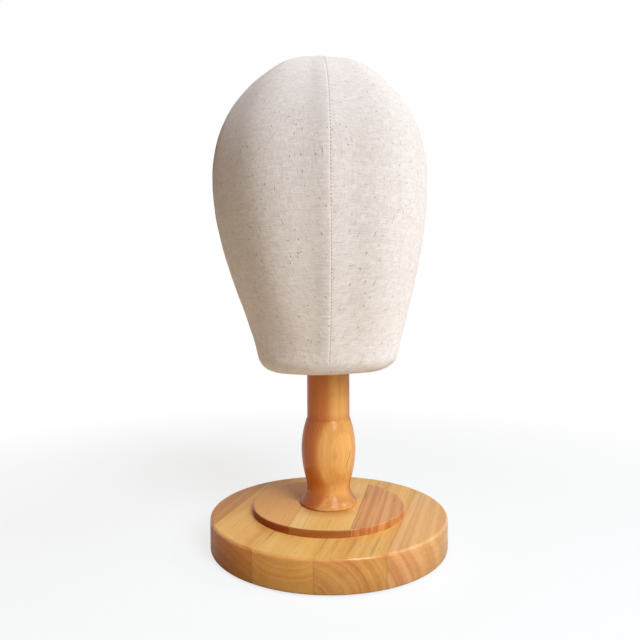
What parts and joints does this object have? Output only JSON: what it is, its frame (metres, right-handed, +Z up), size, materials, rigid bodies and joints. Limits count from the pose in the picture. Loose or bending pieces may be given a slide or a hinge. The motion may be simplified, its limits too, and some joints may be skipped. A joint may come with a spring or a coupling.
{
  "type": "cloth-covered head form",
  "caption": "Linen-covered head form without a face, seamed down the front, that turns and lifts off a turned wooden stand with a round stepped base.",
  "frame": {"origin": "on the stem's axis, at the underside of the felt pads", "axes": "+Z up along the stem, -Y towards the front seam of the head, +X to the right as seen from the front"},
  "size_m": [0.19, 0.19, 0.386],
  "materials": {
    "linen": "matte",
    "lining": "matte",
    "rubberwood": "satin",
    "dark_plank": "satin",
    "plywood": "matte",
    "foam": "matte",
    "black_plastic": "satin",
    "steel": "satin",
    "felt": "matte"
  },
  "bodies": {
    "stand": {"base_plank_1": "rubberwood", "base_plank_2": "rubberwood", "base_plank_3": "rubberwood", "base_plank_4": "rubberwood", "base_plank_5": "rubberwood", "plinth_plank_1": "rubberwood", "plinth_plank_2": "rubberwood", "plinth_plank_3": "dark_plank", "stem": "rubberwood", "stem_insert": "steel", "base_bolt": "steel", "base_washer": "steel", "plinth_screw_1": "steel", "plinth_screw_2": "steel", "plinth_screw_3": "steel", "plinth_screw_4": "steel", "foot_pad_1": "felt", "foot_pad_2": "felt", "foot_pad_3": "felt", "foot_pad_4": "felt"},
    "swivel": {"swivel_washer": "black_plastic"},
    "head": {"foam_core": "foam", "bottom_board": "plywood", "socket_tube": "black_plastic", "cover_panel_left": "linen", "cover_panel_right": "linen", "underside_disc": "lining", "hem_staple_01": "steel", "hem_staple_02": "steel", "hem_staple_03": "steel", "hem_staple_04": "steel", "hem_staple_05": "steel", "hem_staple_06": "steel", "hem_staple_07": "steel", "hem_staple_08": "steel", "hem_staple_09": "steel", "hem_staple_10": "steel"}
  },
  "joints": [
    {"name": "head_turn", "type": "hinge", "parent": "stand", "child": "swivel", "pos_m": [0, 0, 0.1436], "axis": [0, 0, 1], "continuous": true},
    {"name": "head_lift", "type": "slide", "parent": "swivel", "child": "head", "axis": [0, 0, 1], "range_m": [0, 0.07]}
  ]
}
